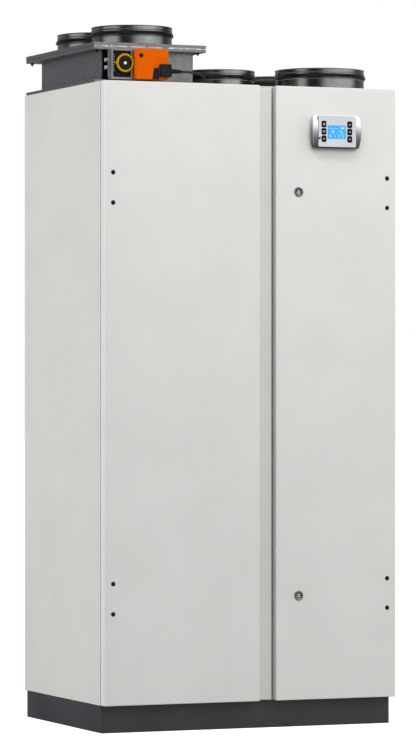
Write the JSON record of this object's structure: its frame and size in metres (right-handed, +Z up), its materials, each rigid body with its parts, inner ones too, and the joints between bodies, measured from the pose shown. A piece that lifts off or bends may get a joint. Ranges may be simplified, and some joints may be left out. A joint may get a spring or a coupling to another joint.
{
  "type": "heat recovery unit",
  "caption": "Floor-standing ventilation unit with heat recovery: two hinged doors, roof duct collars and a changeover damper box with a spring-return drive.",
  "frame": {"origin": "floor level, under the middle of the overall box", "axes": "+Z up, the doors face -Y, +X to the right as seen from the front"},
  "size_m": [0.978, 0.724, 2.17],
  "materials": {
    "plinth_paint": "satin",
    "body_paint": "satin",
    "door_paint": "satin",
    "galvanised_sheet": "satin",
    "mineral_wool": "matte",
    "door_rubber": "matte",
    "black_screws": "satin",
    "zinc_steel": "satin",
    "lock_chrome": "polished",
    "panel_silver": "satin",
    "fascia_grey": "satin",
    "display_blue": "gloss",
    "key_black": "satin",
    "damper_paint": "satin",
    "blade_aluminium": "satin",
    "bush_nylon": "matte",
    "collar_zinc": "satin",
    "seal_rubber": "matte",
    "drive_casting": "satin",
    "drive_orange": "satin",
    "clamp_yellow": "satin",
    "connector_black": "matte",
    "cable_black": "matte",
    "exchanger_aluminium": "satin",
    "filter_board": "matte",
    "fan_black": "satin",
    "impeller_plastic": "satin",
    "flap_zinc": "satin",
    "tray_plastic": "matte"
  },
  "bodies": {
    "cabinet": {"plinth": "plinth_paint", "floor_panel": "galvanised_sheet", "left_side_panel": "body_paint", "right_side_panel": "body_paint", "back_panel": "body_paint", "top_panel": "body_paint", "front_frame": "body_paint", "cabinet_insulation": "mineral_wool", "inner_partitions": "galvanised_sheet", "hinge_arms": "zinc_steel", "damper_box": "damper_paint", "damper_lid": "damper_paint", "damper_bushes": "bush_nylon", "duct_collars_250": "collar_zinc", "duct_collar_224": "collar_zinc", "duct_collar_280": "collar_zinc", "collar_gaskets": "seal_rubber", "actuator_casing": "drive_casting", "actuator_cover": "drive_orange", "actuator_connector": "connector_black", "actuator_cable": "cable_black", "cable_grommet": "seal_rubber", "heat_exchanger": "exchanger_aluminium", "filters": "filter_board", "fan_housings": "fan_black", "bypass_actuator": "connector_black", "condensate_tray": "tray_plastic", "control_box": "galvanised_sheet"},
    "left_door": {"left_door_skin": "door_paint", "left_door_liner": "galvanised_sheet", "left_door_insulation": "mineral_wool", "left_door_gasket": "door_rubber", "left_door_screws": "black_screws", "left_hinge_leaves": "zinc_steel"},
    "right_door": {"right_door_skin": "door_paint", "right_door_liner": "galvanised_sheet", "right_door_insulation": "mineral_wool", "right_door_gasket": "door_rubber", "right_door_screws": "black_screws", "right_hinge_leaves": "zinc_steel", "lock_housings": "lock_chrome", "panel_back_shell": "panel_silver", "panel_fascia": "fascia_grey", "panel_display": "display_blue"},
    "upper_lock": {"upper_lock_barrel": "lock_chrome"},
    "lower_lock": {"lower_lock_barrel": "lock_chrome"},
    "damper_shaft": {"driven_blade": "blade_aluminium", "actuator_clamp": "clamp_yellow"},
    "middle_blade": {"middle_blade": "blade_aluminium"},
    "end_blade": {"end_blade": "blade_aluminium"},
    "damper_link": {"damper_link_rod": "zinc_steel"},
    "supply_impeller": {"supply_impeller": "impeller_plastic"},
    "exhaust_impeller": {"exhaust_impeller": "impeller_plastic"},
    "bypass_flap": {"bypass_flap": "flap_zinc"},
    "button_left_top": {"button_left_top": "key_black"},
    "button_left_middle": {"button_left_middle": "key_black"},
    "button_left_bottom": {"button_left_bottom": "key_black"},
    "button_right_top": {"button_right_top": "key_black"},
    "button_right_middle": {"button_right_middle": "key_black"},
    "button_right_bottom": {"button_right_bottom": "key_black"}
  },
  "joints": [
    {"name": "left_door_hinge", "type": "hinge", "parent": "cabinet", "child": "left_door", "pos_m": [-0.477, -0.323, 1.035], "axis": [0, 0, -1], "range_deg": [0, 110]},
    {"name": "right_door_hinge", "type": "hinge", "parent": "cabinet", "child": "right_door", "pos_m": [0.477, -0.323, 1.035], "axis": [0, 0, 1], "range_deg": [0, 110]},
    {"name": "upper_lock_turn", "type": "hinge", "parent": "right_door", "child": "upper_lock", "pos_m": [0.157, -0.338, 1.658], "axis": [0, 1, 0], "range_deg": [0, 90]},
    {"name": "lower_lock_turn", "type": "hinge", "parent": "right_door", "child": "lower_lock", "pos_m": [0.157, -0.338, 0.408], "axis": [0, 1, 0], "range_deg": [0, 90]},
    {"name": "damper_turn", "type": "hinge", "parent": "cabinet", "child": "damper_shaft", "pos_m": [-0.395, 0, 2.045], "axis": [0, -1, 0], "range_deg": [0, 90], "stiffness_Nm_per_rad": 1},
    {"name": "middle_blade_turn", "type": "hinge", "parent": "cabinet", "child": "middle_blade", "pos_m": [-0.297, 0, 2.045], "axis": [0, -1, 0], "range_deg": [0, 90]},
    {"name": "end_blade_turn", "type": "hinge", "parent": "cabinet", "child": "end_blade", "pos_m": [-0.199, 0, 2.045], "axis": [0, -1, 0], "range_deg": [0, 90]},
    {"name": "link_pivot", "type": "hinge", "parent": "damper_shaft", "child": "damper_link", "pos_m": [-0.37379, 0.3284, 2.06621], "axis": [0, -1, 0], "range_deg": [-90, 0]},
    {"name": "bypass_turn", "type": "hinge", "parent": "cabinet", "child": "bypass_flap", "pos_m": [-0.4115, 0, 1.2], "axis": [0, 1, 0], "range_deg": [0, 90]},
    {"name": "supply_fan_spin", "type": "hinge", "parent": "cabinet", "child": "supply_impeller", "pos_m": [-0.31, 0.24, 0.36], "axis": [0, 1, 0], "continuous": true},
    {"name": "exhaust_fan_spin", "type": "hinge", "parent": "cabinet", "child": "exhaust_impeller", "pos_m": [0.032, -0.002, 1.83], "axis": [0, 0, 1], "continuous": true},
    {"name": "button_left_top_press", "type": "slide", "parent": "right_door", "child": "button_left_top", "axis": [0, 1, 0], "range_m": [0, 0.0012], "stiffness_N_per_m": 400},
    {"name": "button_left_middle_press", "type": "slide", "parent": "right_door", "child": "button_left_middle", "axis": [0, 1, 0], "range_m": [0, 0.0012], "stiffness_N_per_m": 400},
    {"name": "button_left_bottom_press", "type": "slide", "parent": "right_door", "child": "button_left_bottom", "axis": [0, 1, 0], "range_m": [0, 0.0012], "stiffness_N_per_m": 400},
    {"name": "button_right_top_press", "type": "slide", "parent": "right_door", "child": "button_right_top", "axis": [0, 1, 0], "range_m": [0, 0.0012], "stiffness_N_per_m": 400},
    {"name": "button_right_middle_press", "type": "slide", "parent": "right_door", "child": "button_right_middle", "axis": [0, 1, 0], "range_m": [0, 0.0012], "stiffness_N_per_m": 400},
    {"name": "button_right_bottom_press", "type": "slide", "parent": "right_door", "child": "button_right_bottom", "axis": [0, 1, 0], "range_m": [0, 0.0012], "stiffness_N_per_m": 400}
  ],
  "couplings": [
    {"joint": "middle_blade_turn", "follows": "damper_turn", "ratio": 1},
    {"joint": "end_blade_turn", "follows": "damper_turn", "ratio": 1},
    {"joint": "link_pivot", "follows": "damper_turn", "ratio": -1}
  ]
}
